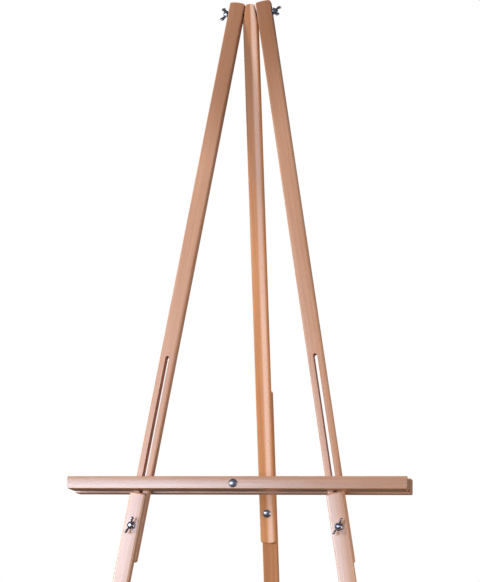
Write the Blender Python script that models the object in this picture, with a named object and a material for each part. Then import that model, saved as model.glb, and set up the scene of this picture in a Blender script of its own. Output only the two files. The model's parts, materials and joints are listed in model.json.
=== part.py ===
"""A tripod display easel: three leg pairs, a two-bar ledge clamped on the front legs, wing-nut hardware.

The front legs splay in one plane that leans back, the rear leg hangs between their tops on the same bolt
and each upper leg carries a lower leg that slides and is clamped by a bolt and wing nut.
Lengths are in metres and angles in degrees. +Z is up and the easel faces -Y.
"""

import math

import bmesh
import bpy
from mathutils import Matrix, Vector

MM = 0.001
FIT = 0.3 * MM  # gap that touching pieces keep

# Stance
FRONT_LEAN = 6.3  # how far the plane of the front legs leans back
FRONT_SPLAY = 9.4  # how far each front leg turns out from the centre line, in that plane
REAR_LEAN = 8.3  # how far the rear leg slopes back

# Leg sections and stations. A station is a distance down the leg from the top bolt.
FRONT_LEG_WIDTH = 23.6 * MM
REAR_LEG_WIDTH = 23.6 * MM
FRONT_LEG_DEPTH = 14 * MM
REAR_LEG_DEPTH = 11 * MM
LEG_EDGE_RADIUS = 2.4 * MM
LEG_END_RISE = 1.2 * MM  # the sawn ends are slightly crowned
FRONT_HEAD = 16.2 * MM  # how far the front legs reach above the top bolt
REAR_HEAD = 13 * MM
FRONT_LEG_OFFSET = 22.35 * MM  # centre line of each front leg from the middle, at the bolt
SPLAY_PIVOT_STATION = 9 * MM  # where a front leg rolls against the shoulder of the rear leg
FRONT_UPPER_END = 849 * MM
FRONT_CLAMP_STATION = 797.5 * MM
FRONT_LOWER_START = 748.5 * MM
FRONT_LOWER_LENGTH = 760 * MM
REAR_UPPER_END = 820 * MM
REAR_CLAMP_STATION = 773.5 * MM
REAR_LOWER_START = 585 * MM
REAR_HEAD_WIDTH = 12.4 * MM  # top of the tapered head of the rear leg
REAR_TAPER = 11  # slope of each flank of that head

# Travel of the clamps in their slots
FRONT_RETRACT = 250 * MM
FRONT_EXTEND = 15 * MM
REAR_RETRACT = 20 * MM
REAR_EXTEND = 160 * MM
SLOT_WIDTH = 6 * MM
SLOT_SPARE = 1.5 * MM  # slot left beyond each end of a clamp's travel
HOLE_SPARE = 1.5  # how far past its stance a front leg can turn before its cross hole stops it
BOLT_HOLE = 5.6 * MM

# Rubber feet
FOOT_HEIGHT = 14 * MM
FOOT_MARGIN = 1.6 * MM
FOOT_RADIUS = 2.5 * MM

# Ledge, measured from the lower front edge of its front bar
LEDGE_LENGTH = 500 * MM
LEDGE_STATION = 734.5 * MM  # below the top bolt, down the middle of the front plane
FRONT_BAR_DEPTH = 24 * MM
FRONT_BAR_HEIGHT = 18 * MM
LIP_DEPTH = 6.5 * MM
LIP_DRAFT = 0.4 * MM  # the back of the lip leans this far forward
LIP_RADIUS = 1.6 * MM
NOSE_RADIUS = 0.9 * MM
SHELF_HEIGHT = 12.6 * MM
FRONT_BAR_HEEL = 1.4 * MM  # how far the underside falls towards the back
BAR_GROOVE = 0.9 * MM
GROOVE_PLACES = (16 * MM, 8 * MM)
FRONT_BAR_END_RADIUS = 5 * MM  # its ends turn up into its underside
REAR_BAR_DEPTH = 20 * MM
REAR_BAR_HEIGHT = 22 * MM
REAR_BAR_DROP = 3 * MM
REAR_BAR_RADIUS = 1.4 * MM
LEDGE_BOLT_HEIGHT = 8 * MM

# M5 hardware
BOLT_RADIUS = 2.5 * MM
BOLT_CHAMFER = 0.5 * MM
CUP_RADIUS = 6.6 * MM
CUP_HEIGHT = 2.9 * MM
NECK_SIDE = 5 * MM
NECK_LENGTH = 3.2 * MM
WASHER_RADIUS = 6 * MM
WASHER_THICKNESS = 1 * MM
WASHER_BORE = 2.8 * MM
NUT_FLANGE_RADIUS = 5.6 * MM
NUT_CROWN_RADIUS = 3.9 * MM
NUT_FLANGE_HEIGHT = 1.6 * MM
NUT_HEIGHT = 5.6 * MM
NUT_BORE = 2.8 * MM
NUT_CHAMFER = 0.5 * MM
WING_SPAN = 26 * MM
WING_HEIGHT = 11.2 * MM
WING_THICKNESS = 2.8 * MM
WING_LOBE = 3.4 * MM
BOLT_TAIL = 1.4 * MM  # thread left showing beyond a nut
TOP_NUT_OFFSET = 35.8 * MM  # inner face of each top nut from the middle

# Where each wing nut happened to stop, turned about its own axis
TOP_LEFT_SPIN = 34
TOP_RIGHT_SPIN = -49
FRONT_LEFT_SPIN = 79
FRONT_RIGHT_SPIN = 56
REAR_SPIN = 70
LEDGE_SPIN = 25

BEECH_UPPER = (0.43, 0.20, 0.10)
BEECH_REAR = (0.55, 0.28, 0.15)
BEECH_LOWER = (0.78, 0.56, 0.43)
BEECH_LEDGE = (0.60, 0.36, 0.24)
ZINC_COLOUR = (0.62, 0.64, 0.68)
RUBBER_COLOUR = (0.035, 0.033, 0.032)

ROUND_SIDES = 20
SHARP_ANGLE = 35  # a corner over this stays crisp


def clear_scene():
    for obj in list(bpy.data.objects):
        bpy.data.objects.remove(obj, do_unlink=True)


def material(name, colour, roughness, metallic=0.0):
    made = bpy.data.materials.new(name)
    made.use_nodes = True
    shader = made.node_tree.nodes["Principled BSDF"]
    shader.inputs["Base Color"].default_value = (*colour, 1)
    shader.inputs["Roughness"].default_value = roughness
    shader.inputs["Metallic"].default_value = metallic
    return made


# Places ---------------------------------------------------------------------------------------------


def turn(axis, degrees):
    return Matrix.Rotation(math.radians(degrees), 4, axis)


def shift(x=0.0, y=0.0, z=0.0):
    return Matrix.Translation((x, y, z))


def empty(name, parent, place):
    made = bpy.data.objects.new(name, None)
    bpy.context.scene.collection.objects.link(made)
    made.parent = parent
    made.matrix_local = place
    return made


def piece(name, mesh, look, parent, place=None):
    """A visible object placed in its parent's frame. Its mesh takes the look if it has none yet."""
    made = bpy.data.objects.new(name, mesh)
    bpy.context.scene.collection.objects.link(made)
    made.parent = parent
    made.matrix_local = place or Matrix()
    if not mesh.materials:
        mesh.materials.append(look)
    return made


# Shapes ---------------------------------------------------------------------------------------------


def mesh_of(name, bm):
    bmesh.ops.recalc_face_normals(bm, faces=bm.faces)
    mesh = bpy.data.meshes.new(name)
    bm.to_mesh(mesh)
    bm.free()
    mesh.shade_smooth()
    mesh.set_sharp_from_angle(angle=math.radians(SHARP_ANGLE))
    return mesh


def soften(bm, radius, segments=3):
    """Rounds every edge where two faces meet at more than 30 degrees."""
    sharp = [edge for edge in bm.edges if edge.calc_face_angle(0) > math.radians(30)]
    bmesh.ops.bevel(bm, geom=sharp, offset=radius, segments=segments, profile=0.5, affect="EDGES")


def prism(outline, near, far, axis="Y"):
    """An outline of (across, up) points, carried from near to far along Y or along X."""
    bm = bmesh.new()
    if axis == "Y":
        corners = [bm.verts.new((across, near, up)) for across, up in outline]
        step = Vector((0, far - near, 0))
    else:
        corners = [bm.verts.new((near, across, up)) for across, up in outline]
        step = Vector((far - near, 0, 0))
    face = bm.faces.new(corners)
    grown = bmesh.ops.extrude_face_region(bm, geom=[face])
    moved = [item for item in grown["geom"] if isinstance(item, bmesh.types.BMVert)]
    bmesh.ops.translate(bm, verts=moved, vec=step)
    return bm


def turned(profile, sides):
    """A solid of revolution about Z from (radius, height) points, closed on itself or on the axis."""
    bm = bmesh.new()
    rings = []
    for radius, height in profile:
        if radius == 0:
            rings.append([bm.verts.new((0, 0, height))])
            continue
        ring = arc((0, 0), radius, 0, 360, sides)[:-1]
        rings.append([bm.verts.new((x, y, height)) for x, y in ring])
    solid_to_axis = profile[0][0] == 0
    pairs = list(zip(rings, rings[1:])) + ([] if solid_to_axis else [(rings[-1], rings[0])])
    for one, other in pairs:
        for step in range(sides):
            after = (step + 1) % sides
            near = [one[step % len(one)], one[after % len(one)]]
            far = [other[after % len(other)], other[step % len(other)]]
            bm.faces.new(list(dict.fromkeys(near + far)))
    return bm


def block(width, depth, height, centre=(0, 0, 0)):
    bm = bmesh.new()
    place = Matrix.Translation(centre) @ Matrix.Diagonal((width, depth, height, 1))
    bmesh.ops.create_cube(bm, size=1, matrix=place)
    return bm


def rod(radius, start, end, sides=ROUND_SIDES):
    return turned([(0, start), (radius, start), (radius, end), (0, end)], sides)


def arc(centre, radius, start, end, steps):
    """Points on a circle, from one angle to another."""
    cx, cy = centre
    angles = [math.radians(start + (end - start) * step / steps) for step in range(steps + 1)]
    return [(cx + radius * math.cos(a), cy + radius * math.sin(a)) for a in angles]


def stadium(width, low, high):
    """A slot outline with round ends, its end centres at low and high."""
    return arc((0, high), width / 2, 0, 180, 8) + arc((0, low), width / 2, 180, 360, 8)


def combined(name, base, steps):
    """The base mesh after each (operation, shape) Boolean step."""
    work = bpy.data.objects.new(name, mesh_of(name, base))
    helpers = [work]
    bpy.context.scene.collection.objects.link(work)
    for operation, shape in steps:
        tool = bpy.data.objects.new(name + "_tool", mesh_of(name + "_tool", shape))
        tool.hide_render = True
        tool.display_type = "WIRE"
        bpy.context.scene.collection.objects.link(tool)
        helpers.append(tool)
        change = work.modifiers.new(operation.title(), "BOOLEAN")
        change.operation = operation
        change.object = tool
    graph = bpy.context.evaluated_depsgraph_get()
    mesh = bpy.data.meshes.new_from_object(work.evaluated_get(graph))
    mesh.name = name
    for helper in helpers:
        bpy.data.objects.remove(helper, do_unlink=True)
    mesh.shade_smooth()
    mesh.set_sharp_from_angle(angle=math.radians(SHARP_ANGLE))
    return mesh


def rotated(bm, matrix):
    bmesh.ops.transform(bm, matrix=matrix, verts=bm.verts)
    return bm


# Legs: local X across the leg, Y to the back, Z up the leg, with the top bolt at Z = 0 ----------------


def crowned_bar(width, depth, top, bottom, back=0.0):
    """A leg blank with softened edges and slightly crowned ends, its middle plane at Y = back."""
    half = width / 2
    swing = math.degrees(2 * math.atan(LEG_END_RISE / half))
    radius = half / math.sin(math.radians(swing))
    crown = arc((0, top - radius), radius, 90 - swing, 90 + swing, 6)
    sole = [(x, top + bottom - z) for x, z in crown]
    bm = prism(crown + sole[::-1], back - depth / 2, back + depth / 2)
    soften(bm, LEG_EDGE_RADIUS)
    return bm


def across_slot(play, reach):
    """A round-ended hole that runs across the leg, for the top bolt, with play up and down the leg."""
    return prism(stadium(BOLT_HOLE, -play, play), -reach, reach, axis="X")


def through_slot(low, high, back, reach):
    """A slot for a clamp bolt that travels between stations low and high."""
    return prism(stadium(SLOT_WIDTH, low - SLOT_SPARE, high + SLOT_SPARE), back - reach, back + reach)


def bolt_hole(station, back, reach):
    return rotated(rod(BOLT_HOLE / 2, -reach, reach), shift(0, back, -station) @ turn("X", 90))


def neck_socket(place):
    """A square recess for a bolt's neck, running in from a face along +Z of its place."""
    side = NECK_SIDE + 2 * FIT
    return rotated(block(side, side, 2 * NECK_LENGTH + 2 * FIT), place)


def front_upper_leg():
    """Its cross hole is long enough for the bolt to stay level while the leg turns out."""
    leg = crowned_bar(FRONT_LEG_WIDTH, FRONT_LEG_DEPTH, FRONT_HEAD, -FRONT_UPPER_END)
    play = (FRONT_LEG_WIDTH / 2 + BOLT_RADIUS) * math.tan(math.radians(FRONT_SPLAY + HOLE_SPARE))
    slot_low = -(FRONT_CLAMP_STATION + FRONT_EXTEND)
    slot_high = -(FRONT_CLAMP_STATION - FRONT_RETRACT)
    return combined(
        "front_upper_leg",
        leg,
        [
            ("DIFFERENCE", across_slot(play, FRONT_LEG_WIDTH)),
            ("DIFFERENCE", through_slot(slot_low, slot_high, 0, FRONT_LEG_DEPTH)),
        ],
    )


def front_lower_leg():
    back = -(FRONT_LEG_DEPTH + FIT)
    end = FRONT_LOWER_START + FRONT_LOWER_LENGTH
    leg = crowned_bar(FRONT_LEG_WIDTH, FRONT_LEG_DEPTH, -FRONT_LOWER_START, -end, back)
    hole = bolt_hole(FRONT_CLAMP_STATION, back, FRONT_LEG_DEPTH)
    return combined("front_lower_leg", leg, [("DIFFERENCE", hole)])


def rear_upper_leg():
    """Its head tapers, so the front legs can lie against its flanks when they are spread."""
    half, head = REAR_LEG_WIDTH / 2, REAR_HEAD_WIDTH / 2
    shoulder = REAR_HEAD - (half - head) / math.tan(math.radians(REAR_TAPER))
    bottom = -REAR_UPPER_END
    outline = [
        (-half, bottom + LEG_END_RISE),
        (-half / 2, bottom + LEG_END_RISE / 4),
        (0, bottom),
        (half / 2, bottom + LEG_END_RISE / 4),
        (half, bottom + LEG_END_RISE),
        (half, shoulder),
        (head, REAR_HEAD - LEG_END_RISE / 4),
        (0, REAR_HEAD),
        (-head, REAR_HEAD - LEG_END_RISE / 4),
        (-half, shoulder),
    ]
    leg = prism(outline, -REAR_LEG_DEPTH / 2, REAR_LEG_DEPTH / 2)
    soften(leg, LEG_EDGE_RADIUS)
    cross_hole = rotated(rod(BOLT_HOLE / 2, -REAR_LEG_WIDTH, REAR_LEG_WIDTH), turn("Y", 90))
    socket = neck_socket(shift(0, -REAR_LEG_DEPTH / 2, -REAR_CLAMP_STATION) @ turn("X", 90))
    return combined(
        "rear_upper_leg",
        leg,
        [
            ("DIFFERENCE", cross_hole),
            ("DIFFERENCE", bolt_hole(REAR_CLAMP_STATION, 0, REAR_LEG_DEPTH)),
            ("DIFFERENCE", socket),
        ],
    )


def rear_lower_leg(length):
    back = REAR_LEG_DEPTH + FIT
    end = REAR_LOWER_START + length
    leg = crowned_bar(REAR_LEG_WIDTH, REAR_LEG_DEPTH, -REAR_LOWER_START, -end, back)
    slot_low = -(REAR_CLAMP_STATION + REAR_RETRACT)
    slot_high = -(REAR_CLAMP_STATION - REAR_EXTEND)
    slot = through_slot(slot_low, slot_high, back, REAR_LEG_DEPTH)
    return combined("rear_lower_leg", leg, [("DIFFERENCE", slot)])


def foot(width, depth, end, back, floor):
    """A rubber pad under a leg end, cut level by the floor, a (point, normal) pair in leg space."""
    wide, deep = width + FOOT_MARGIN, depth + FOOT_MARGIN
    reach = 3 * FOOT_HEIGHT
    bm = block(wide, deep, reach, (0, back, -end - FIT - reach / 2))
    point, normal = floor
    everything = list(bm.verts) + list(bm.edges) + list(bm.faces)
    cut = bmesh.ops.bisect_plane(bm, geom=everything, plane_co=point, plane_no=-normal, clear_outer=True)
    rim = [item for item in cut["geom_cut"] if isinstance(item, bmesh.types.BMEdge)]
    bmesh.ops.contextual_create(bm, geom=rim)
    upright = []
    for edge in bm.edges:
        run = edge.verts[0].co - edge.verts[1].co
        if abs(run.normalized().z) > 0.9:
            upright.append(edge)
    bmesh.ops.bevel(bm, geom=upright, offset=FOOT_RADIUS, segments=3, profile=0.5, affect="EDGES")
    return mesh_of("foot", bm)


# Hardware: axis along Z, the bearing face at Z = 0 ---------------------------------------------------


def cup_bolt(length):
    """A cup-head square-neck bolt. The head is above Z = 0 and the shank runs down to -length."""
    rise = math.degrees(2 * math.atan(CUP_HEIGHT / CUP_RADIUS))
    radius = CUP_RADIUS / math.sin(math.radians(rise))
    dome = arc((0, CUP_HEIGHT - radius), radius, 90 - rise, 90, 6)
    profile = [(max(x, 0), z) for x, z in dome[:-1]] + [(0, CUP_HEIGHT)]
    chamfer = (BOLT_RADIUS - BOLT_CHAMFER, -length), (BOLT_RADIUS, -length + BOLT_CHAMFER)
    shank = [(0, -length), *chamfer, (BOLT_RADIUS, 0)]
    body = turned(shank + profile, ROUND_SIDES)
    overlap = CUP_HEIGHT / 2
    neck = block(NECK_SIDE, NECK_SIDE, NECK_LENGTH + overlap, (0, 0, (overlap - NECK_LENGTH) / 2))
    return combined("cup_bolt", body, [("UNION", neck)])


def washer():
    ring = [
        (WASHER_BORE, 0),
        (WASHER_RADIUS, 0),
        (WASHER_RADIUS, WASHER_THICKNESS),
        (WASHER_BORE, WASHER_THICKNESS),
    ]
    return mesh_of("washer", turned(ring, ROUND_SIDES))


def wing():
    """One wing in the XZ plane: it leaves the hub low and ends in a round lobe, raised and outboard."""
    tip = (WING_SPAN / 2 - WING_LOBE, WING_HEIGHT - WING_LOBE)
    root = BOLT_RADIUS
    root_low, root_high = (root, NUT_FLANGE_HEIGHT), (root, NUT_HEIGHT - NUT_CHAMFER)
    outline = [root_high, root_low, (NUT_FLANGE_RADIUS, NUT_FLANGE_HEIGHT + NUT_CHAMFER)]
    outline += arc(tip, WING_LOBE, -50, 150, 8)
    bm = prism(outline, -WING_THICKNESS / 2, WING_THICKNESS / 2)
    soften(bm, NUT_CHAMFER, 1)
    return bm


def wing_nut():
    core = NUT_BORE / 2
    hub = turned(
        [
            (core, 0),
            (NUT_FLANGE_RADIUS, 0),
            (NUT_FLANGE_RADIUS, NUT_FLANGE_HEIGHT - NUT_CHAMFER),
            (NUT_FLANGE_RADIUS - NUT_CHAMFER, NUT_FLANGE_HEIGHT),
            (NUT_CROWN_RADIUS + NUT_CHAMFER, NUT_HEIGHT - NUT_CHAMFER),
            (NUT_CROWN_RADIUS, NUT_HEIGHT),
            (core, NUT_HEIGHT),
        ],
        ROUND_SIDES,
    )
    bore = rod(NUT_BORE, -NUT_HEIGHT, 2 * NUT_HEIGHT)
    steps = [("UNION", wing()), ("UNION", rotated(wing(), turn("Z", 180))), ("DIFFERENCE", bore)]
    return combined("wing_nut", hub, steps)


def clamp_set(prefix, parent, head_at, nut_at, spin, nut_parent, kit):
    """Bolt, washer and wing nut on one axis. Head and nut places are frames whose +Z points outwards."""
    reach = (nut_at.translation - head_at.translation).length
    length = reach + FIT + WASHER_THICKNESS + FIT + NUT_HEIGHT + BOLT_TAIL
    piece(prefix + "_bolt", cup_bolt(length), kit["zinc"], parent, head_at @ shift(z=FIT))
    piece(prefix + "_washer", kit["washer"], kit["zinc"], parent, nut_at @ shift(z=FIT))
    seat = nut_at @ shift(z=2 * FIT + WASHER_THICKNESS) @ turn("Z", spin)
    piece(prefix + "_wing_nut", kit["wing_nut"], kit["zinc"], nut_parent, seat)


# Ledge: X along it, Y to the back from the front face, Z up from the lower front edge ------------------


def ledge_bolt_axis():
    return shift(z=LEDGE_BOLT_HEIGHT) @ turn("X", -90)


def groove(y, height):
    """The corner, floor and corner of a small quirk along the underside."""
    return [(y - BAR_GROOVE, height), (y, height + BAR_GROOVE), (y + BAR_GROOVE, height)]


def rounded_ends():
    """A block around the front bar whose ends are rounded where they meet the underside."""
    half, radius = LEDGE_LENGTH / 2, FRONT_BAR_END_RADIUS
    middle, low, top = half - radius, radius - FRONT_BAR_HEEL, 2 * FRONT_BAR_HEIGHT
    outline = arc((-middle, low), radius, 180, 270, 6) + arc((middle, low), radius, 270, 360, 6)
    outline += [(half, top), (-half, top)]
    return prism(outline, -FRONT_BAR_DEPTH, 2 * FRONT_BAR_DEPTH)


def ledge_front_bar():
    """A moulded bar: a low lip in front of a shelf, and a quirked underside that falls to the back."""
    fall = FRONT_BAR_HEEL / FRONT_BAR_DEPTH
    crest = FRONT_BAR_HEIGHT - LIP_RADIUS
    outline = arc((NOSE_RADIUS, NOSE_RADIUS), NOSE_RADIUS, 270, 180, 3)
    outline += arc((LIP_RADIUS, crest), LIP_RADIUS, 180, 90, 4)
    outline += arc((LIP_DEPTH - LIP_DRAFT - LIP_RADIUS, crest), LIP_RADIUS, 90, 0, 4)
    outline += [(LIP_DEPTH, SHELF_HEIGHT), (FRONT_BAR_DEPTH, SHELF_HEIGHT)]
    outline += [(FRONT_BAR_DEPTH, -FRONT_BAR_HEEL)]
    for y in GROOVE_PLACES:
        outline += groove(y, -fall * y)[::-1]
    bm = prism(outline, -LEDGE_LENGTH, LEDGE_LENGTH, axis="X")
    hole = rotated(rod(BOLT_HOLE / 2, -FRONT_BAR_DEPTH, 2 * FRONT_BAR_DEPTH), ledge_bolt_axis())
    socket = neck_socket(ledge_bolt_axis())
    steps = [("INTERSECT", rounded_ends()), ("DIFFERENCE", hole), ("DIFFERENCE", socket)]
    return combined("ledge_front_bar", bm, steps)


def ledge_rear_bar():
    middle = (0, REAR_BAR_DEPTH / 2, REAR_BAR_HEIGHT / 2 - REAR_BAR_DROP)
    bm = block(LEDGE_LENGTH, REAR_BAR_DEPTH, REAR_BAR_HEIGHT, middle)
    soften(bm, REAR_BAR_RADIUS, 2)
    hole = rotated(rod(BOLT_HOLE / 2, -REAR_BAR_DEPTH, 2 * REAR_BAR_DEPTH), ledge_bolt_axis())
    return combined("ledge_rear_bar", bm, [("DIFFERENCE", hole)])


# Assemblies -----------------------------------------------------------------------------------------


def bolt_height():
    """Height of the top bolt above the floor that the front legs' lengths and angles give."""
    along = FRONT_LOWER_START + FRONT_LOWER_LENGTH
    lean, splay = math.radians(FRONT_LEAN), math.radians(FRONT_SPLAY)
    return along * math.cos(lean) * math.cos(splay) + FOOT_HEIGHT


def floor_in(frame):
    """The floor plane (Z = 0) as a point and a normal in a frame's own space."""
    bpy.context.view_layer.update()
    inverse = frame.matrix_world.inverted()
    return inverse @ Vector((0, 0, 0)), (inverse.to_3x3() @ Vector((0, 0, 1))).normalized()


def build_top_bolt(apex, kit):
    """A stud through all three legs with a wing nut on each end, and no washers."""
    reach = TOP_NUT_OFFSET + NUT_HEIGHT + BOLT_TAIL
    stud = rod(BOLT_RADIUS, -reach, reach)
    piece("top_bolt", mesh_of("top_bolt", stud), kit["zinc"], apex, turn("Y", 90))
    for side, sign, spin in (("left", -1, TOP_LEFT_SPIN), ("right", 1, TOP_RIGHT_SPIN)):
        nut_at = shift(x=sign * TOP_NUT_OFFSET) @ turn("Y", 90 * sign) @ turn("Z", spin)
        piece(f"top_{side}_wing_nut", kit["wing_nut"], kit["zinc"], apex, nut_at)


def build_front_leg(side, sign, spin, front_plane, kit):
    """Sign is -1 for the left leg and 1 for the right one, as seen from the front."""
    bolt_point = shift(x=sign * FRONT_LEG_OFFSET) @ turn("Y", -sign * FRONT_SPLAY)
    pivot = empty(f"front_{side}_splay", front_plane, bolt_point @ shift(z=-SPLAY_PIVOT_STATION))
    leg_space = shift(z=SPLAY_PIVOT_STATION)
    piece(f"front_{side}_upper_leg", kit["front_upper"], kit["beech_upper"], pivot, leg_space)

    slide = empty(f"front_{side}_slide", pivot, leg_space)
    piece(f"front_{side}_lower_leg", kit["front_lower"], kit["beech_lower"], slide)
    front_face = -(1.5 * FRONT_LEG_DEPTH + FIT)
    head_at = shift(0, FRONT_LEG_DEPTH / 2, -FRONT_CLAMP_STATION) @ turn("X", -90)
    nut_at = shift(0, front_face, -FRONT_CLAMP_STATION) @ turn("X", 90)
    clamp_set(f"front_{side}", slide, head_at, nut_at, spin, slide, kit)
    end = FRONT_LOWER_START + FRONT_LOWER_LENGTH
    pad = foot(FRONT_LEG_WIDTH, FRONT_LEG_DEPTH, end, -(FRONT_LEG_DEPTH + FIT), floor_in(slide))
    piece(f"front_{side}_foot", pad, kit["rubber"], slide)


def build_rear_leg(apex, height, kit):
    swing = empty("rear_swing", apex, turn("X", REAR_LEAN))
    piece("rear_upper_leg", rear_upper_leg(), kit["beech_rear"], swing)
    slide = empty("rear_slide", swing, Matrix())
    length = (height - FOOT_HEIGHT) / math.cos(math.radians(REAR_LEAN)) - REAR_LOWER_START
    piece("rear_lower_leg", rear_lower_leg(length), kit["beech_rear"], slide)
    head_at = shift(0, -REAR_LEG_DEPTH / 2, -REAR_CLAMP_STATION) @ turn("X", 90)
    nut_at = shift(0, 1.5 * REAR_LEG_DEPTH + FIT, -REAR_CLAMP_STATION) @ turn("X", -90)
    clamp_set("rear", swing, head_at, nut_at, REAR_SPIN, swing, kit)
    end = REAR_LOWER_START + length
    pad = foot(REAR_LEG_WIDTH, REAR_LEG_DEPTH, end, REAR_LEG_DEPTH + FIT, floor_in(slide))
    piece("rear_foot", pad, kit["rubber"], slide)


def build_ledge(front_plane, kit):
    """The two bars clamp the front legs between them, drawn together by one bolt in the middle."""
    front_face = -(FRONT_LEG_DEPTH / 2 + FIT + FRONT_BAR_DEPTH)
    ledge = empty("ledge_slide", front_plane, shift(0, front_face, -LEDGE_STATION))
    rear_face = FRONT_BAR_DEPTH + FIT + FRONT_LEG_DEPTH + FIT
    piece("ledge_front_bar", ledge_front_bar(), kit["beech_ledge"], ledge)
    piece("ledge_rear_bar", ledge_rear_bar(), kit["beech_ledge"], ledge, shift(y=rear_face))
    head_at = shift(z=LEDGE_BOLT_HEIGHT) @ turn("X", 90)
    nut_at = shift(0, rear_face + REAR_BAR_DEPTH, LEDGE_BOLT_HEIGHT) @ turn("X", -90)
    clamp_set("ledge", ledge, head_at, nut_at, LEDGE_SPIN, ledge, kit)


def centre_on_floor(root):
    """Moves the easel so the middle of its footprint box is over the origin."""
    bpy.context.view_layer.update()
    reach = []
    for obj in bpy.data.objects:
        if obj.type == "MESH":
            reach += [(obj.matrix_world @ vertex.co).y for vertex in obj.data.vertices]
    root.location.y -= (min(reach) + max(reach)) / 2


def main():
    clear_scene()
    bpy.context.scene.unit_settings.system = "METRIC"
    kit = {
        "beech_upper": material("beech_upper", BEECH_UPPER, 0.5),
        "beech_lower": material("beech_lower", BEECH_LOWER, 0.5),
        "beech_rear": material("beech_rear", BEECH_REAR, 0.5),
        "beech_ledge": material("beech_ledge", BEECH_LEDGE, 0.5),
        "zinc": material("zinc", ZINC_COLOUR, 0.3, 1.0),
        "rubber": material("rubber", RUBBER_COLOUR, 0.8),
        "washer": washer(),
        "wing_nut": wing_nut(),
        "front_upper": front_upper_leg(),
        "front_lower": front_lower_leg(),
    }
    height = bolt_height()
    apex = empty("apex", None, shift(z=height))
    front_plane = empty("front_plane", apex, turn("X", -FRONT_LEAN))
    build_top_bolt(apex, kit)
    build_front_leg("left", -1, FRONT_LEFT_SPIN, front_plane, kit)
    build_front_leg("right", 1, FRONT_RIGHT_SPIN, front_plane, kit)
    build_rear_leg(apex, height, kit)
    build_ledge(front_plane, kit)
    centre_on_floor(apex)


main()
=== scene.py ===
"""Looks for the display easel, in a pale studio.

Satin-lacquered beech, zinc-plated M5 hardware and ribbed rubber feet.
"""

import json
import math

import bmesh
import bpy
from mathutils import Matrix, Vector


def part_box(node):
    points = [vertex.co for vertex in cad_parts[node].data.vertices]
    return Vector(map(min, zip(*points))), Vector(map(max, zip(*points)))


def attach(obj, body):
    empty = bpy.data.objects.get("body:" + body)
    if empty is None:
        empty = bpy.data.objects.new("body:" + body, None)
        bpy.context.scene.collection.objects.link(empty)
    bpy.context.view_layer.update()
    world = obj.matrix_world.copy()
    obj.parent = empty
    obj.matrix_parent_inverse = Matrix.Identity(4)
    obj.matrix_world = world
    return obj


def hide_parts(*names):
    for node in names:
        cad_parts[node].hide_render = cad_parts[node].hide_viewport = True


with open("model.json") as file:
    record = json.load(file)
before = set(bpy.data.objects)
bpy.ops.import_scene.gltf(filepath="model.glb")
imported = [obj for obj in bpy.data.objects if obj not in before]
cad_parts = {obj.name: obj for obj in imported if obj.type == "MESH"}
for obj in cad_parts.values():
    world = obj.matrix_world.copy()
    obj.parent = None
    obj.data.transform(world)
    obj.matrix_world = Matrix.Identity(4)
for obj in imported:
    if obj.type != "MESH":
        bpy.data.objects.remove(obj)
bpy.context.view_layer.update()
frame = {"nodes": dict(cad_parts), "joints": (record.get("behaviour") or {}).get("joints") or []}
nodes = frame["nodes"]
joints = {joint["name"]: joint for joint in frame["joints"]}
MM = 0.001

# Camera: metres from the top bolt, degrees, and the lens in mm
CAMERA_OFFSET = (0.5931, -2.482853, -0.713957)
CAMERA_AZIMUTH = 13.8
CAMERA_PITCH = 6.33
CAMERA_LENS = 105.2

# M5 bolts
BOLT_RADIUS = 2.5 * MM
BOLT_SIDES = 24
SHANK_START = 0.4 * MM  # how far inside its head a shank starts
PLAIN_ROW = 4 * MM  # between rows of points where the shank is plain
ROWS_PER_THREAD = 6
THREAD_PITCH = 0.8 * MM
THREAD_DEPTH = 0.42 * MM
THREAD_LENGTH = 15 * MM
THREAD_SHARPNESS = 0.8  # below 1, the groove is narrower than a plain V
TIP_LENGTH = 0.7 * MM  # of the chamfer at a thread's end
TIP_DEPTH = 0.6 * MM
CUP_RADIUS = 6.6 * MM
CUP_HEIGHT = 2.9 * MM
CUP_FLAT = 0.004 * MM  # depth at which the crown closes with a tiny flat
CUP_RIM = 0.35 * MM  # height of the straight rim
CUP_BEVEL, CUP_UNDERCUT = 0.12 * MM, 0.2 * MM  # height and depth of the bevel under the rim
CUP_ROWS = 12
NECK_SIDE = 4.9 * MM
NECK_LENGTH = 3.2 * MM
TURNED_SIDES = 40  # of a cup head and of a nut's hub

# Cast wing nuts
HUB_PROFILE = (  # height and radius, mm
    (0, 5.2),
    (0.25, 5.5),
    (1.1, 5.6),
    (1.5, 5.3),
    (2.0, 4.75),
    (3.6, 4.3),
    (5.2, 3.95),
    (5.6, 3.6),
)
NUT_HEIGHT = 5.6 * MM
NUT_BORE = 2.75 * MM
BORE_SINK = 0.9 * MM
BORE_SIDES = 32
WING_SPAN = 26 * MM
WING_HEIGHT = 11.2 * MM
WING_ROWS, WING_SIDES = 14, 16
WING_ROOT = 3.0 * MM  # reach and rise of a wing's start inside the hub
WING_RISING = 1.25  # above 1, the wing leaves the hub flat and curves up
WING_WAIST, WING_FLARE = 2.0 * MM, 0.4 * MM  # half height at the neck, and what the root adds
WING_THICKNESS, EAR_THICKENING = 1.15 * MM, 0.55 * MM
WING_LEAN = 0.25
WING_LOBE = 3.4 * MM  # radius of the ear
EAR_START, EAR_SWELLING = 0.4, 1.5
EAR_CAP_DEGREES = (20, 40, 58, 72, 82)
EAR_DROOP = 0.15
EAR_EDGE = 0.35  # share of its thickness that is left at the ear's edge
WING_ROUNDING = (0.7, 0.85)  # across and up: below 1, squarer than an ellipse
FUSE_VOXEL = 0.32 * MM  # of the remesh that fuses hub and wings, which is then smoothed
BLEND_FACTOR, BLEND_PASSES = 0.5, 4

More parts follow.
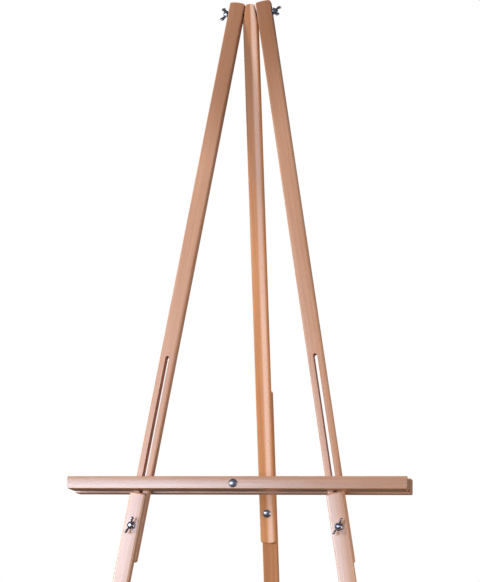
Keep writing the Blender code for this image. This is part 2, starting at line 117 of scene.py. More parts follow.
# Zinc plate: colour and roughness
ZINC_PLATE = (0.34, 0.38, 0.46), 0.26
ZINC_DULL = (0.36, 0.37, 0.44), 0.37
ZINC_BLOOM, ZINC_BLOOM_TONES = 900.0, (0.75, 1.15)  # scale per metre, and shares of the colour
ZINC_SCRATCHES = (2600.0, 500.0)
ZINC_SHADE_REACH, ZINC_SHADE_TONE = 3 * MM, 0.22  # painted shade: how near another surface darkens it, and to what
ZINC_SMOOTHER, ZINC_ROUGHER = 0.07, 0.1  # how far the bloom moves the roughness
WASHER_EASE = 0.18 * MM

# Rubber feet
FOOT_RIB_DEPTH = 0.7 * MM
FOOT_RIBS = 4
FOOT_ROWS_PER_RIB = 8
FOOT_SIDES = 48
FOOT_SQUARENESS = 0.32  # 1 is an ellipse, 0 a rectangle
FOOT_RIM, FOOT_RIM_SHARE = 0.8 * MM, 0.05
RUBBER_BLACK, RUBBER_DUSTY = (0.028, 0.027, 0.026), (0.11, 0.10, 0.092)

# Bars: sections across and front to back in mm, and how far lower legs lie from the upper ones
FRONT_SIZE = (23.6, 14)
REAR_SIZE = (23.6, 11)
LEDGE_FRONT_SIZE = (19.4, 24)
LEDGE_REAR_SIZE = (22, 20)
FRONT_LOWER_OFFSET = -14.3 * MM
REAR_LOWER_OFFSET = 11.3 * MM
LEDGE_EASE = 0.5 * MM

# Beech: light and dark colours
TAN = (0.70, 0.365, 0.215), (0.52, 0.235, 0.125)
WARM = (0.74, 0.335, 0.145), (0.54, 0.215, 0.085)
# Painted sheen: TAN made paler and cooler, for the right lower leg.
SHEEN_PALE_TAN = (0.75, 0.43, 0.28), (0.57, 0.285, 0.17)
SHADED = (0.59, 0.265, 0.125), (0.42, 0.165, 0.07)
BAR = (0.56, 0.28, 0.145), (0.41, 0.175, 0.085)
# Painted sheen: the pale colour of a stripe down the rear upper leg.
PAINTED_SHEEN_COLOUR = (0.93, 0.58, 0.42)
HEAD_SHADE_KEEP = (0.5, 0.34, 0.15)  # how much of each dark colour the painted shade at a leg's head keeps

# Painted shade at a leg's head: where it starts to darken and where it is darkest, in mm from the
# pivot, and how far. Painted sheen on the rear leg, a paler stripe: its edges across the leg in mm,
# and how pale it is.
LEFT_HEAD_SHADE = (-250, -110, 0.52)
RIGHT_HEAD_SHADE = (-230, -20, 0.66)
REAR_HEAD_SHADE = (-240, -40, 0.28)
PAINTED_SHEEN_BAND = (-1, 11, 0.9)

# Lacquer: how much there is, and its roughness where it isn't the usual one
UPPER_FINISH = {"sheen": 0.54}
LOWER_FINISH = {"sheen": 1.0, "satin": 0.32}
REAR_FINISH = {"sheen": 0.08}
LEDGE_FINISH = {"satin": 0.2}

# Beech's figure: scale across and along the grain per mm, shift of the seed, detail and roughness
SWAY = (0.02, 0.004, 0, 2.0, 0.5)
RINGS = (0.30, 0.0035, 7, 3.0, 0.55)
STREAKS = (1.1, 0.012, 3, 3.0, 0.6)
FIBRES = (5.0, 0.12, 0, 2.0, 0.6)
FLECKS = (1.6, 0.28, 11, 1.0, 0.5)
CLOUDS = (0.05, 0.018, 5, 2.0, 0.5)
PORES = (2.2, 0.02, 2, 2.0, 0.5)
SWAY_REACH = 14.0  # mm
RING_SHARE, STREAK_SHARE, CLOUD_SHARE = 0.45, 0.35, 0.35

# Steps of a pattern: where it starts and ends, and what it gives there
RING_STEP = (0.34, 0.66)
FLECK_STEP = (0.63, 0.74, 0.0, 0.42)
FIBRE_STEP = (0.60, 0.80, 0.0, 0.16)
RUBBED_STEP = (0.35, 0.62, 0.15, 0.55)
END_GRAIN_STEP = (0.75, 0.95, 0.0, 0.8)
GLOSS_STEP = (0.3, 0.7, 0.34, 0.46)
END_GRAIN_ROUGHER = 0.25

# Tones of the figure: shares of the dark colour, and of the light one with a little white in it
FLECK_TONE, FIBRE_TONE, PORE_TONES = 0.55, 0.6, (0.42, 0.8)
RUBBED_TONE, RUBBED_WHITE = 1.1, 0.05

# Wear of the bars' faces and corners
WORN_START, WORN_END = 2.6, 0.4  # mm in from a bar's corner
SANDED_TILT = 0.085  # slope of a sanded face at its edges

# Floor: how pale it looks, and the darker tone that keeps its bounce off the undersides
FLOOR_COLOUR = (0.86, 0.86, 0.85)
FLOOR_BOUNCE = (0.15, 0.13, 0.11)
FLOOR_LIFT = 0.38
FLOOR_RADIUS = 7  # metres
FLOOR_FADE = (1.2, 6.0, 1.0, 0.0)

# Studio: an even glow, a wide soft sun for the floor alone, and lamps for all but the floor
GLOW_COLOUR = (1.0, 0.97, 0.94, 1)
GLOW_STRENGTH = 0.18
SKY_STRENGTH = 1.6
SKY_WIDTH = 24  # degrees
SKY_FALLS = (0.5, 0.35, -1.0)
WHITE = (1, 1, 1)
LAMPS = (  # name, place, target, size (metres), power (watts), colour, mirrored in glossy surfaces
    ("window", (-1.3, -3.0, 1.12), (0, 0, 0.95), (1.35, 0.95), 52, (0.83, 0.97, 1.2), True),
    ("key", (-2.05, -1.6, 0.9), (0, 0, 1.1), (0.4, 0.4), 36, WHITE, True),
    ("side", (1.05, -0.25, 0.54), (0.1, 0, 0.56), (0.5, 0.5), 6, (1.0, 0.92, 0.84), True),
    ("overhead", (0, 0.3, 3.4), (0, 0, 0), (2.0, 2.0), 60, WHITE, False),
    ("rim", (-0.8, 2.8, 2.0), (0, 0, 0.9), (1.2, 1.2), 36, WHITE, False),
)


# Node trees ---------------------------------------------------------------------------------------


class Tree:
    """A short way to write a material's nodes: values, sockets and colours all go in as inputs."""

    def __init__(self, name):
        self.material = bpy.data.materials.new(name)
        self.material.use_nodes = True
        self.nodes = self.material.node_tree.nodes
        self.links = self.material.node_tree.links
        self.shader = self.nodes["Principled BSDF"]

    def feed(self, socket, value):
        if isinstance(value, bpy.types.NodeSocket):
            self.links.new(value, socket)
        elif value is not None:
            socket.default_value = value

    def shade(self, **inputs):
        """Feeds the shader's own inputs, with _ for the spaces in their names."""
        for key, value in inputs.items():
            self.feed(self.shader.inputs[key.replace("_", " ")], value)

    def add(self, kind, inputs=(), **settings):
        node = self.nodes.new(kind)
        for key, value in settings.items():
            setattr(node, key, value)
        for key, value in dict(inputs).items():
            self.feed(node.inputs[key], value)
        return node

    def math(self, operation, one, two=None, clamp=False):
        node = self.add("ShaderNodeMath", operation=operation, use_clamp=clamp)
        self.feed(node.inputs[0], one)
        self.feed(node.inputs[1], two)
        return node.outputs[0]

    def noise(self, vector, scale, detail=2.0, roughness=0.5):
        inputs = {"Vector": vector, "Scale": scale, "Detail": detail, "Roughness": roughness}
        return self.add("ShaderNodeTexNoise", inputs).outputs["Fac"]

    def stretch(self, vector, across, along, offset=0.0):
        """Coordinates for a pattern drawn out along Z."""
        inputs = {"Vector": vector, "Location": (offset,) * 3, "Scale": (across, across, along)}
        return self.add("ShaderNodeMapping", inputs).outputs["Vector"]

    def figure(self, spot, pattern, seed):
        """One of the noises that the figure of the wood is made of."""
        across, along, shift, detail, roughness = pattern
        return self.noise(self.stretch(spot, across, along, seed + shift), 1.0, detail, roughness)

    def step(self, value, low, high, out_low=0.0, out_high=1.0):
        inputs = {
            "Value": value,
            "From Min": low,
            "From Max": high,
            "To Min": out_low,
            "To Max": out_high,
        }
        smooth = {"interpolation_type": "SMOOTHSTEP"}
        return self.add("ShaderNodeMapRange", inputs, **smooth).outputs["Result"]

    def mix(self, factor, one, two):
        node = self.add("ShaderNodeMix", data_type="RGBA")
        self.feed(node.inputs["Factor"], factor)
        for key, value in (("A", one), ("B", two)):
            is_socket = isinstance(value, bpy.types.NodeSocket)
            self.feed(node.inputs[key], value if is_socket else (*value, 1))
        return node.outputs["Result"]

    def bump(self, strength, distance, height, **inputs):
        """A bumped normal."""
        inputs = {"Strength": strength, "Distance": distance, "Height": height, **inputs}
        return self.add("ShaderNodeBump", inputs).outputs["Normal"]

    def local_mm(self, place):
        """Surface position in a piece's own frame, in millimetres."""
        turned = place.to_euler()
        inputs = {
            "Vector": self.add("ShaderNodeTexCoord").outputs["Object"],
            "Location": place.translation,
            "Rotation": turned,
            "Scale": (MM,) * 3,
        }
        return self.add("ShaderNodeMapping", inputs, vector_type="TEXTURE").outputs["Vector"]

    def along(self, axis):
        """How far the surface faces along an axis, from 0 to 1."""
        normal = self.add("ShaderNodeNewGeometry").outputs["Normal"]
        inputs = {0: normal, 1: axis}
        node = self.add("ShaderNodeVectorMath", inputs, operation="DOT_PRODUCT")
        return self.math("ABSOLUTE", node.outputs["Value"])


def scaled(colour, by, plus=0.0):
    return tuple(min(1.0, c * by + plus) for c in colour)


# Materials ----------------------------------------------------------------------------------------


def beech(name, place, size, wood, seed, head=None, sheen_band=None, sheen=0.8, satin=0.27):
    """Satin-lacquered beech with its grain along the local Z of place.

    Size is the section in mm. Wood is its light and its dark colour.
    Head is (start, end, strength) of painted shade: the wood darkens along Z from start to end, in
    mm, and stays dark beyond. The sheen stripe is (low, high, strength): a paler stripe across X,
    in mm, that paints a sheen.
    Sheen is how much lacquer it has, and satin is the lacquer's roughness.
    """
    light, dark = wood
    tree = Tree(name)
    spot = tree.local_mm(place)
    parts = tree.add("ShaderNodeSeparateXYZ", {"Vector": spot}).outputs
    sway = tree.figure(spot, SWAY, seed)
    swayed = tree.add("ShaderNodeVectorMath", {0: spot}, operation="ADD")
    bend = {"X": tree.math("MULTIPLY", sway, SWAY_REACH)}
    tree.feed(swayed.inputs[1], tree.add("ShaderNodeCombineXYZ", bend).outputs[0])
    spot = swayed.outputs[0]
    patterns = (RINGS, STREAKS, FIBRES, FLECKS, CLOUDS)
    rings, streaks, fibres, flecks, clouds = (tree.figure(spot, p, seed) for p in patterns)

    tone = tree.math("MULTIPLY", tree.step(rings, *RING_STEP), RING_SHARE)
    tone = tree.math("ADD", tone, tree.math("MULTIPLY", streaks, STREAK_SHARE))
    tone = tree.math("ADD", tone, tree.math("MULTIPLY", clouds, CLOUD_SHARE), clamp=True)
    colour = tree.mix(tone, dark, light)
    # Painted shade: the wood darkens towards a leg's head.
    if head:
        start, end, strength = head
        head_shade = tree.step(parts["Z"], start, end, 0.0, strength)
        colour = tree.mix(head_shade, colour, tuple(c * keep for c, keep in zip(dark, HEAD_SHADE_KEEP)))
    # Painted sheen: a paler stripe across the leg.
    if sheen_band:
        low, high, strength = sheen_band
        middle, soft = (low + high) / 2, (high - low) / 2
        reach = tree.math("ABSOLUTE", tree.math("SUBTRACT", parts["X"], middle))
        pale = tree.step(reach, soft, soft * 0.3, 0.0, strength)
        colour = tree.mix(pale, colour, PAINTED_SHEEN_COLOUR)
    colour = tree.mix(tree.step(flecks, *FLECK_STEP), colour, scaled(dark, FLECK_TONE))
    colour = tree.mix(tree.step(fibres, *FIBRE_STEP), colour, scaled(dark, FIBRE_TONE))

    worn = edge_mask(tree, parts, size)
    rubbed = tree.math("MULTIPLY", worn, tree.step(clouds, *RUBBED_STEP))
    colour = tree.mix(rubbed, colour, scaled(light, RUBBED_TONE, RUBBED_WHITE))
    end = tree.step(tree.along(place.col[2].to_3d()), *END_GRAIN_STEP)
    pores = tree.figure(spot, PORES, seed)
    pores = tree.mix(pores, *(scaled(dark, tone) for tone in PORE_TONES))
    tree.shade(Base_Color=tree.mix(end, colour, pores))

    gloss = tree.step(streaks, *GLOSS_STEP)
    gloss = tree.math("ADD", gloss, tree.math("MULTIPLY", end, END_GRAIN_ROUGHER))
    tree.shade(Roughness=gloss, Specular_IOR_Level=0.6 * sheen)
    tree.shade(Coat_Weight=sheen, Coat_Roughness=satin)
    sanded = cushion(tree, parts, size)
    relief = tree.math("MULTIPLY", fibres, 0.6)
    relief = tree.math("ADD", relief, tree.math("MULTIPLY", flecks, 0.4))
    normal = tree.bump(0.22, 0.15 * MM, relief, Normal=sanded)
    tree.shade(Normal=normal, Coat_Normal=normal)
    return tree.material


def cushion(tree, parts, size):
    """The normal of faces that sanding has left slightly rounded across the grain."""
    falls = []
    for axis, whole in zip("XY", size):
        across = tree.math("DIVIDE", parts[axis], whole / 2)
        square = tree.math("MULTIPLY", across, across)
        falls.append(tree.math("MULTIPLY", square, -SANDED_TILT * whole / 4))
    return tree.bump(1.0, MM, tree.math("ADD", *falls))


def edge_mask(tree, parts, size):
    """1 on the long corners of a bar whose section is size, 0 on its faces."""
    sides = []
    for axis, whole in zip("XY", size):
        reach = tree.math("ABSOLUTE", parts[axis])
        sides.append(tree.step(reach, whole / 2 - WORN_START, whole / 2 - WORN_END))
    return tree.math("MULTIPLY", *sides)


def zinc(name, colour, roughness):
    """Bright zinc plate: a cool metal with a fine blotchy bloom, and painted shade in its recesses.
    """
    tree = Tree(name)
    spot = tree.add("ShaderNodeTexCoord").outputs["Object"]
    bloom = tree.noise(spot, ZINC_BLOOM, 3.0, 0.6)
    scratches = tree.noise(tree.stretch(spot, *ZINC_SCRATCHES), 1.0, 2.0)
    tint = tree.mix(bloom, *(scaled(colour, tone) for tone in ZINC_BLOOM_TONES))
    near = {"Distance": ZINC_SHADE_REACH}
    # Painted shade: the colour darkens where another surface is near.
    painted_shade = tree.add("ShaderNodeAmbientOcclusion", near, samples=6).outputs["AO"]
    tint = tree.mix(tree.step(painted_shade, 0.35, 0.9), scaled(colour, ZINC_SHADE_TONE), tint)
    tree.shade(Base_Color=tint, Metallic=1.0)
    smooth, rough = roughness - ZINC_SMOOTHER, roughness + ZINC_ROUGHER
    tree.shade(Roughness=tree.step(bloom, 0.3, 0.7, smooth, rough))
    tree.shade(Normal=tree.bump(0.12, 0.05 * MM, scratches))
    return tree.material


def rubber(name):
    """Black rubber with a fine grain and a little dust."""
    tree = Tree(name)
    spot = tree.add("ShaderNodeTexCoord").outputs["Object"]
    grain = tree.noise(spot, 1400.0, 3.0, 0.6)
    most_dust = 0.35
    dust = tree.step(tree.noise(spot, 60.0, 3.0), 0.45, 0.75, 0.0, most_dust)
    tree.shade(Base_Color=tree.mix(dust, RUBBER_BLACK, RUBBER_DUSTY))
    tree.shade(Roughness=tree.step(dust, 0.0, most_dust, 0.62, 0.85))
    tree.shade(Normal=tree.bump(0.3, 0.08 * MM, grain))
    return tree.material


# Places read from the frame -----------------------------------------------------------------------


def place_of(origin, across, back, along):
    """A frame whose X, Y and Z run across, to the back of and along a piece."""
    turned = Matrix((Vector(across), Vector(back), Vector(along))).transposed()
    return Matrix.Translation(origin) @ turned.to_4x4()


def leg_place(pivot, slide):
    """The frame of a leg from the joint at its top and the slide that runs along it."""
    along = Vector(joints[slide]["axis"])
    normal = Vector(joints[pivot]["axis"])
    if "splay" not in pivot:
        normal = along.cross(Vector((1, 0, 0)))
    back = normal if normal.y > 0 else -normal
    return place_of(joints[pivot]["pos_m"], back.cross(along), back, along)


def ledge_place(node):
    """The grain frame of a ledge bar: Z along the bar, Y to its back."""
    low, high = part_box(node)
    up = Vector(joints["ledge_height"]["axis"])
    back = up.cross(Vector((1, 0, 0)))
    return place_of((low + high) / 2, -up, back, (1, 0, 0))


def axis_place(spin, node):
    """The frame of a turned piece: Z out along its axis, X towards its point furthest from that."""
    origin, axis = Vector(joints[spin]["pos_m"]), Vector(joints[spin]["axis"]).normalized()

    def radial(vertex):
        offset = vertex.co - origin
        return offset - axis * offset.dot(axis)

    across = max(map(radial, nodes[node].data.vertices), key=lambda offset: offset.length)
    across = across.normalized()
    return place_of(origin, across, axis.cross(across), axis)


def span_along(node, place):
    """Lowest and highest position of a node along a frame's Z."""
    inverse = place.inverted()
    heights = [(inverse @ vertex.co).z for vertex in nodes[node].data.vertices]
    return min(heights), max(heights)


def square_to_leg(place):
    """The same axis, turned so that a bolt's square neck lies square to the row's X."""
    out = place.col[2].to_3d()
    across = Vector((1, 0, 0))
    across = (across - out * across.dot(out)).normalized()
    return place_of(place.translation, across, out.cross(across), out)


# Mesh helpers -------------------------------------------------------------------------------------


def mesh_of(name, bm, sharp=38):
    """The finished mesh, smooth but for edges over the sharp angle in degrees."""
    bmesh.ops.recalc_face_normals(bm, faces=bm.faces)
    mesh = bpy.data.meshes.new(name)
    bm.to_mesh(mesh)
    bm.free()
    mesh.shade_smooth()
    mesh.set_sharp_from_angle(angle=math.radians(sharp))
    return mesh


def linked(name, data):
    """A new object in the scene."""
    made = bpy.data.objects.new(name, data)
    bpy.context.scene.collection.objects.link(made)
    return made


def put(name, mesh, look, body, place, slot, *replaced):
    """A finished piece: placed, painted, riding its body, standing for CAD nodes it replaces."""
    made = linked(name, mesh)
    made.matrix_world = place
    mesh.materials.clear()
    mesh.materials.append(look)
    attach(made, body)
    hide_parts(*replaced)


def ring_surface(bm, rings):
    """Joins rings of equal size into a tube and closes both ends."""
    for one, other in zip(rings, rings[1:]):
        for step, corner in enumerate(one):
            after = (step + 1) % len(one)
            bm.faces.new((corner, one[after], other[after], other[step]))
    bm.faces.new(rings[0])
    bm.faces.new(rings[-1])


def lathe(bm, radius_at, heights, sides):
    """A solid about Z. Radius_at(height, turn) gives the radius, with turn from 0 to 1 round it."""
    rings = []
    for height in heights:
        ring = []
        for step in range(sides):
            turn = step / sides
            radius, angle = radius_at(height, turn), 2 * math.pi * turn
            corner = (radius * math.cos(angle), radius * math.sin(angle), height)
            ring.append(bm.verts.new(corner))
        rings.append(ring)
    ring_surface(bm, rings)


def steps(low, high, count):
    return [low + (high - low) * step / count for step in range(count + 1)]


def squared(value, power):
    """A sine or cosine raised to a power, with its sign kept."""
    return math.copysign(abs(value) ** power, value)


def applied(obj):
    """The object's evaluated mesh; the object itself is removed."""
    graph = bpy.context.evaluated_depsgraph_get()
    mesh = bpy.data.meshes.new_from_object(obj.evaluated_get(graph))
    bpy.data.objects.remove(obj, do_unlink=True)
    return mesh


# Hardware pieces: axis along Z --------------------------------------------------------------------


def thread_radius(tips):
    """Radius along a shank threaded towards each of its tips, with a chamfer and a run-out."""

    def radius(height, turn):
        reach = min(abs(height - tip) for tip in tips)
        if reach > THREAD_LENGTH:
            return BOLT_RADIUS
        phase = (height / THREAD_PITCH - turn) % 1
        groove = THREAD_DEPTH * (1 - abs(2 * phase - 1) ** THREAD_SHARPNESS)
        run_out = min(1, (THREAD_LENGTH - reach) / (2 * THREAD_PITCH))
        chamfer = max(0, 1 - reach / TIP_LENGTH) * TIP_DEPTH
        return BOLT_RADIUS - max(groove * run_out, chamfer)

    return radius


def thread_heights(low, high, tips):
    """Rows close together where the thread runs, and far apart elsewhere."""
    row = THREAD_PITCH / ROWS_PER_THREAD
    heights, height = [low], low
    while height < high:
        near = min(abs(height - tip) for tip in tips) <= THREAD_LENGTH + row
        height = min(high, height + (row if near else PLAIN_ROW))
        heights.append(height)
    return heights


def cup_bolt(low, high):
    """A cup-head square-neck bolt: the head at low, its thread towards high."""
    bm = bmesh.new()
    seat = low + CUP_HEIGHT
    heights = thread_heights(seat - SHANK_START, high, [high])
    lathe(bm, thread_radius([high]), heights, BOLT_SIDES)
    sphere = (CUP_RADIUS**2 + CUP_HEIGHT**2) / (2 * CUP_HEIGHT)

    def dome(height, _turn):
        depth = max(min(height - low, CUP_HEIGHT - CUP_RIM), CUP_FLAT)
        rounded = math.sqrt(max(0.0, sphere**2 - (sphere - depth) ** 2))
        undercut = CUP_UNDERCUT if height > seat - CUP_BEVEL else 0
        return min(rounded, CUP_RADIUS) - undercut

    crown = [low + CUP_HEIGHT * (step / CUP_ROWS) ** 2 for step in range(CUP_ROWS)]
    lathe(bm, dome, crown + [seat - CUP_RIM, seat - CUP_BEVEL, seat], TURNED_SIDES)
    neck_size = Matrix.Diagonal((NECK_SIDE, NECK_SIDE, NECK_LENGTH, 1))
    neck = Matrix.Translation((0, 0, seat + NECK_LENGTH / 2)) @ neck_size
    bmesh.ops.create_cube(bm, size=1, matrix=neck)
    return mesh_of("cup_bolt", bm, 30)


def threaded_stud(low, high):
    """The top bolt, threaded at both ends."""
    bm = bmesh.new()
    tips = [low, high]
    lathe(bm, thread_radius(tips), thread_heights(low, high, tips), BOLT_SIDES)
    return mesh_of("threaded_stud", bm, 30)


def nut_hub(bm):
    """The turned middle of a wing nut: a flange, a waist and a tapering crown."""
    radii = {height * MM: radius * MM for height, radius in HUB_PROFILE}
    lathe(bm, lambda height, _turn: radii[height], list(radii), TURNED_SIDES)


def nut_wing(bm, side):
    """One wing: it rises out of the hub, narrows, and swells into a round ear."""
    outlines = []
    for t in steps(0, 1, WING_ROWS):
        reach = WING_ROOT * (1 - t) + (WING_SPAN / 2 - WING_LOBE) * t
        rise = WING_ROOT + (WING_HEIGHT - WING_LOBE - WING_ROOT) * t**WING_RISING
        swell = max(0.0, (t - EAR_START) / (1 - EAR_START)) ** EAR_SWELLING
        height = WING_WAIST + (1 - t) * WING_FLARE + (WING_LOBE - WING_WAIST) * swell
        outlines.append((reach, rise, height, WING_THICKNESS + EAR_THICKENING * swell))
    reach, rise, height, thick = outlines[-1]
    for degrees in EAR_CAP_DEGREES:
        squash, push = math.cos(math.radians(degrees)), math.sin(math.radians(degrees))
        end_reach, end_rise = reach + push * WING_LOBE, rise + push * WING_LOBE * EAR_DROOP
        edge = thick * (EAR_EDGE + (1 - EAR_EDGE) * squash)
        outlines.append((end_reach, end_rise, height * squash, edge))

    rings = []
    across_power, up_power = WING_ROUNDING
    for reach, rise, height, thick in outlines:
        ring = []
        for step in range(WING_SIDES):
            angle = 2 * math.pi * step / WING_SIDES
            across = squared(math.sin(angle), across_power) * thick
            up = squared(math.cos(angle), up_power) * height
            ring.append(bm.verts.new((side * (reach - WING_LEAN * up), across, rise + up)))
        rings.append(ring)
    ring_surface(bm, rings)


def wing_nut():
    """A cast wing nut: hub and ears are fused, smoothed where they meet, and bored."""
    bm = bmesh.new()
    nut_hub(bm)
    for side in (-1, 1):
        nut_wing(bm, side)
    bore_bm = bmesh.new()
    past = 1 * MM  # how far the cutter runs past both ends
    sunk = {-past: 0, NUT_HEIGHT - BORE_SINK: 0, NUT_HEIGHT + past: BORE_SINK + past}
    lathe(bore_bm, lambda height, _turn: NUT_BORE + sunk[height], list(sunk), BORE_SIDES)
    work = linked("wing_nut_work", mesh_of("wing_nut_work", bm))
    bore = linked("wing_nut_bore", mesh_of("wing_nut_bore", bore_bm))
    fuse = work.modifiers.new("fuse", "REMESH")
    fuse.mode = "VOXEL"
    fuse.voxel_size = FUSE_VOXEL
    blend = work.modifiers.new("blend", "SMOOTH")
    blend.factor = BLEND_FACTOR
    blend.iterations = BLEND_PASSES
    cut = work.modifiers.new("bore", "BOOLEAN")
    cut.operation = "DIFFERENCE"
    cut.object = bore
    mesh = applied(work)
    bpy.data.objects.remove(bore, do_unlink=True)
    mesh.name = "wing_nut"
    mesh.shade_smooth()
    mesh.set_sharp_from_angle(angle=math.radians(50))
    return mesh


# Feet ---------------------------------------------------------------------------------------------


def ribbed_foot(node, place):
    """A rubber shoe: a rounded, ribbed block from the leg's end down to the level floor."""
    inverse = place.inverted()
    points = [inverse @ vertex.co for vertex in nodes[node].data.vertices]
    low = Vector((min(p.x for p in points), min(p.y for p in points)))
    high = Vector((max(p.x for p in points), max(p.y for p in points)))
    top = max(p.z for p in points)
    middle, half = (low + high) / 2, (high - low) / 2
    along = place.col[2].to_3d()
    bm = bmesh.new()
    rings = []
    for level in [0, 0.02] + steps(0.06, 0.94, FOOT_ROWS_PER_RIB * FOOT_RIBS) + [0.98, 1]:
        inset = FOOT_RIB_DEPTH * (0.5 - 0.5 * math.cos(2 * math.pi * FOOT_RIBS * level))
        rim = FOOT_RIM * (1 - min(1, min(level, 1 - level) / FOOT_RIM_SHARE)) ** 2
        ring = []
        for step in range(FOOT_SIDES):
            angle = 2 * math.pi * step / FOOT_SIDES
            corner = [squared(f(angle), FOOT_SQUARENESS) for f in (math.cos, math.sin)]
            x, y = (middle[i] + corner[i] * (half[i] - inset - rim) for i in (0, 1))
            start = place @ Vector((x, y, top))
            floor = start - along * (start.z / along.z)
            ring.append(bm.verts.new(start.lerp(floor, level)))
        rings.append(ring)
    ring_surface(bm, rings)
    return mesh_of(node + "_ribbed", bm, 50)


# Dressing the CAD pieces --------------------------------------------------------------------------


def paint(node, look):
    slots = nodes[node].data.materials
    slots.clear()
    slots.append(look)


def ease_edges(node, width):
    """Rounds a CAD piece's sharp edges for the light to catch."""
    ease = nodes[node].modifiers.new("eased edges", "BEVEL")
    ease.width = width
    ease.segments = 2
    ease.limit_method = "ANGLE"
    ease.angle_limit = math.radians(35)
    ease.harden_normals = False


def dress_wood():
    """Paints each bar: its node, material, grain frame, section, colours, seed and extras."""
    left = leg_place("front_left_leg_splay", "front_left_leg_slide")
    right = leg_place("front_right_leg_splay", "front_right_leg_slide")
    rear = leg_place("rear_leg_swing", "rear_leg_slide")
    in_front = Matrix.Translation((0, FRONT_LOWER_OFFSET, 0))
    left_low, right_low = left @ in_front, right @ in_front
    rear_low = rear @ Matrix.Translation((0, REAR_LOWER_OFFSET, 0))
    left_upper = {"head": LEFT_HEAD_SHADE, **UPPER_FINISH}
    right_upper = {"head": RIGHT_HEAD_SHADE, **UPPER_FINISH}
    rear_upper = {"head": REAR_HEAD_SHADE, "sheen_band": PAINTED_SHEEN_BAND, **REAR_FINISH}
    front, back = "ledge_front_bar", "ledge_rear_bar"
    bars = (
        ("front_left_upper_leg", "left_upper", left, FRONT_SIZE, TAN, 3.1, left_upper),
        ("front_right_upper_leg", "right_upper", right, FRONT_SIZE, TAN, 14.7, right_upper),
        ("rear_upper_leg", "rear_upper", rear, REAR_SIZE, WARM, 25.3, rear_upper),
        ("front_left_lower_leg", "left_lower", left_low, FRONT_SIZE, TAN, 31.9, LOWER_FINISH),
        ("front_right_lower_leg", "right_lower", right_low, FRONT_SIZE, SHEEN_PALE_TAN, 47.2, LOWER_FINISH),
        ("rear_lower_leg", "rear_lower", rear_low, REAR_SIZE, SHADED, 58.6, REAR_FINISH),
        (front, "ledge_front", ledge_place(front), LEDGE_FRONT_SIZE, BAR, 66.4, LEDGE_FINISH),
        (back, "ledge_rear", ledge_place(back), LEDGE_REAR_SIZE, BAR, 71.8, LEDGE_FINISH),
    )
    for node, name, place, section, wood, seed, extras in bars:
        paint(node, beech(f"beech_{name}", place, section, wood, seed, **extras))
    for node in (front, back):
        ease_edges(node, LEDGE_EASE)


def dress_hardware():
    """Puts cast nuts and threaded bolts in place of the CAD ones, and paints the washers."""
    plate = zinc("zinc_plate", *ZINC_PLATE)
    dull = zinc("zinc_dull", *ZINC_DULL)
    nut_mesh = wing_nut()
    clamps = {
        "front_left": "front_left_lower",
        "front_right": "front_right_lower",
        "rear": "rear_upper",
        "ledge": "ledge",
    }
    for prefix, body in clamps.items():
        nut, bolt, washer = f"{prefix}_wing_nut", f"{prefix}_bolt", f"{prefix}_washer"
        place = axis_place(f"{prefix}_nut_spin", nut)
        put(f"{nut}_cast", nut_mesh, plate, f"{prefix}_nut", place, "zinc", nut)
        bolt_mesh = cup_bolt(*span_along(bolt, place))
        put(f"{bolt}_threaded", bolt_mesh, dull, body, square_to_leg(place), "zinc", bolt)
        paint(washer, plate)
        ease_edges(washer, WASHER_EASE)
    for side in ("left", "right"):
        nut = f"top_{side}_wing_nut"
        place = axis_place(f"top_{side}_nut_spin", nut)
        put(f"{nut}_cast", nut_mesh, plate, f"top_{side}_nut", place, "zinc", nut)
    # The stud shares its axis with the right nut, whose place is still at hand.
    stud = threaded_stud(*span_along("top_bolt", place))
    put("top_bolt_threaded", stud, plate, "apex", place, "zinc", "top_bolt")


def dress_feet():
    """Puts a ribbed shoe in place of each CAD foot."""
    look = rubber("foot_rubber")
    feet = {
        "front_left": ("front_left_lower", "front_left_leg_splay", "front_left_leg_slide"),
        "front_right": ("front_right_lower", "front_right_leg_splay", "front_right_leg_slide"),
        "rear": ("rear_lower", "rear_leg_swing", "rear_leg_slide"),
    }
    for prefix, (body, pivot, slide) in feet.items():
        node = f"{prefix}_foot"
        mesh = ribbed_foot(node, leg_place(pivot, slide))
        put(f"{node}_ribbed", mesh, look, body, Matrix(), "rubber", node)


# Studio and camera --------------------------------------------------------------------------------


def area_light(name, place, target, size, power, colour, mirrored):
    """A soft rectangular lamp. One that isn't mirrored leaves no highlight in glossy surfaces."""
    light = bpy.data.lights.new(name, "AREA")
    light.shape = "RECTANGLE"
    light.size, light.size_y = size
    light.energy = power
    light.color = colour
    lamp = linked(name, light)
    lamp.location = place
    lamp.rotation_euler = (Vector(target) - Vector(place)).to_track_quat("-Z", "Y").to_euler()
    lamp.visible_camera = False
    lamp.visible_glossy = mirrored
    return lamp


def sky_light():
    """A wide soft sun that gives the floor one even tone and the feet their shadows."""
    light = bpy.data.lights.new("sky", "SUN")
    light.energy = SKY_STRENGTH
    light.angle = math.radians(SKY_WIDTH)
    lamp = linked("sky", light)
    lamp.rotation_euler = Vector(SKY_FALLS).to_track_quat("-Z", "Y").to_euler()
    return lamp


def light_link(lamp, receiver, state):
    """Keeps a lamp to one piece alone (INCLUDE) or off that piece (EXCLUDE)."""
    receivers = bpy.data.collections.new(f"lit_by_{lamp.name}")
    receivers.objects.link(receiver)
    receivers.collection_objects[0].light_linking.link_state = state
    lamp.light_linking.receiver_collection = receivers


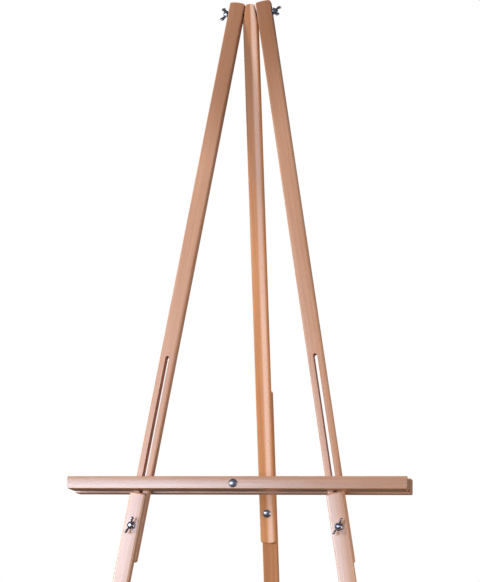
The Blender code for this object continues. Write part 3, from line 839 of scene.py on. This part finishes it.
def floor_material():
    """A pale floor that fades out, paler to the camera than to the light that bounces off it."""
    tree = Tree("pale_floor")
    spot = tree.add("ShaderNodeTexCoord").outputs["Object"]
    distance = tree.add("ShaderNodeVectorMath", {0: spot}, operation="LENGTH").outputs["Value"]
    seen = tree.add("ShaderNodeLightPath").outputs["Is Camera Ray"]
    tree.shade(Base_Color=tree.mix(seen, FLOOR_BOUNCE, FLOOR_COLOUR))
    tree.shade(Emission_Color=(*FLOOR_COLOUR, 1))
    tree.shade(Emission_Strength=tree.math("MULTIPLY", seen, FLOOR_LIFT))
    tree.shade(Roughness=0.9, Specular_IOR_Level=0.1)
    tree.shade(Alpha=tree.step(distance, *FLOOR_FADE))
    return tree.material


def white_room():
    """A world that the camera sees as white, and that lights the scene with a dim even glow."""
    world = bpy.data.worlds.new("studio")
    bpy.context.scene.world = world
    world.use_nodes = True
    tree = world.node_tree
    glow = tree.nodes["Background"]
    glow.inputs["Color"].default_value = GLOW_COLOUR
    glow.inputs["Strength"].default_value = GLOW_STRENGTH
    seen = tree.nodes.new("ShaderNodeBackground")
    seen.inputs["Color"].default_value = (*WHITE, 1)
    path = tree.nodes.new("ShaderNodeLightPath")
    choice = tree.nodes.new("ShaderNodeMixShader")
    tree.links.new(path.outputs["Is Camera Ray"], choice.inputs["Fac"])
    tree.links.new(glow.outputs[0], choice.inputs[1])
    tree.links.new(seen.outputs[0], choice.inputs[2])
    tree.links.new(choice.outputs[0], tree.nodes["World Output"].inputs["Surface"])


def studio():
    """The white room, its lamps and the fading floor, which a soft sky of its own lights."""
    white_room()
    lamps = [area_light(*lamp) for lamp in LAMPS]
    disc = bmesh.new()
    bmesh.ops.create_circle(disc, cap_ends=True, radius=FLOOR_RADIUS, segments=96)
    floor = linked("floor", mesh_of("floor", disc))
    floor.data.materials.append(floor_material())
    for lamp in lamps:
        light_link(lamp, floor, "EXCLUDE")
    light_link(sky_light(), floor, "INCLUDE")


def camera():
    """The photograph's camera, placed from the top bolt."""
    data = bpy.data.cameras.new("camera")
    data.lens = CAMERA_LENS
    data.clip_end = 50
    made = linked("camera", data)
    made.location = Vector(joints["rear_leg_swing"]["pos_m"]) + Vector(CAMERA_OFFSET)
    made.rotation_euler = (math.radians(90 + CAMERA_PITCH), 0, math.radians(CAMERA_AZIMUTH))
    bpy.context.scene.camera = made


camera()
bpy.context.scene.view_settings.view_transform = "Standard"
dress_wood()
dress_hardware()
dress_feet()
studio()
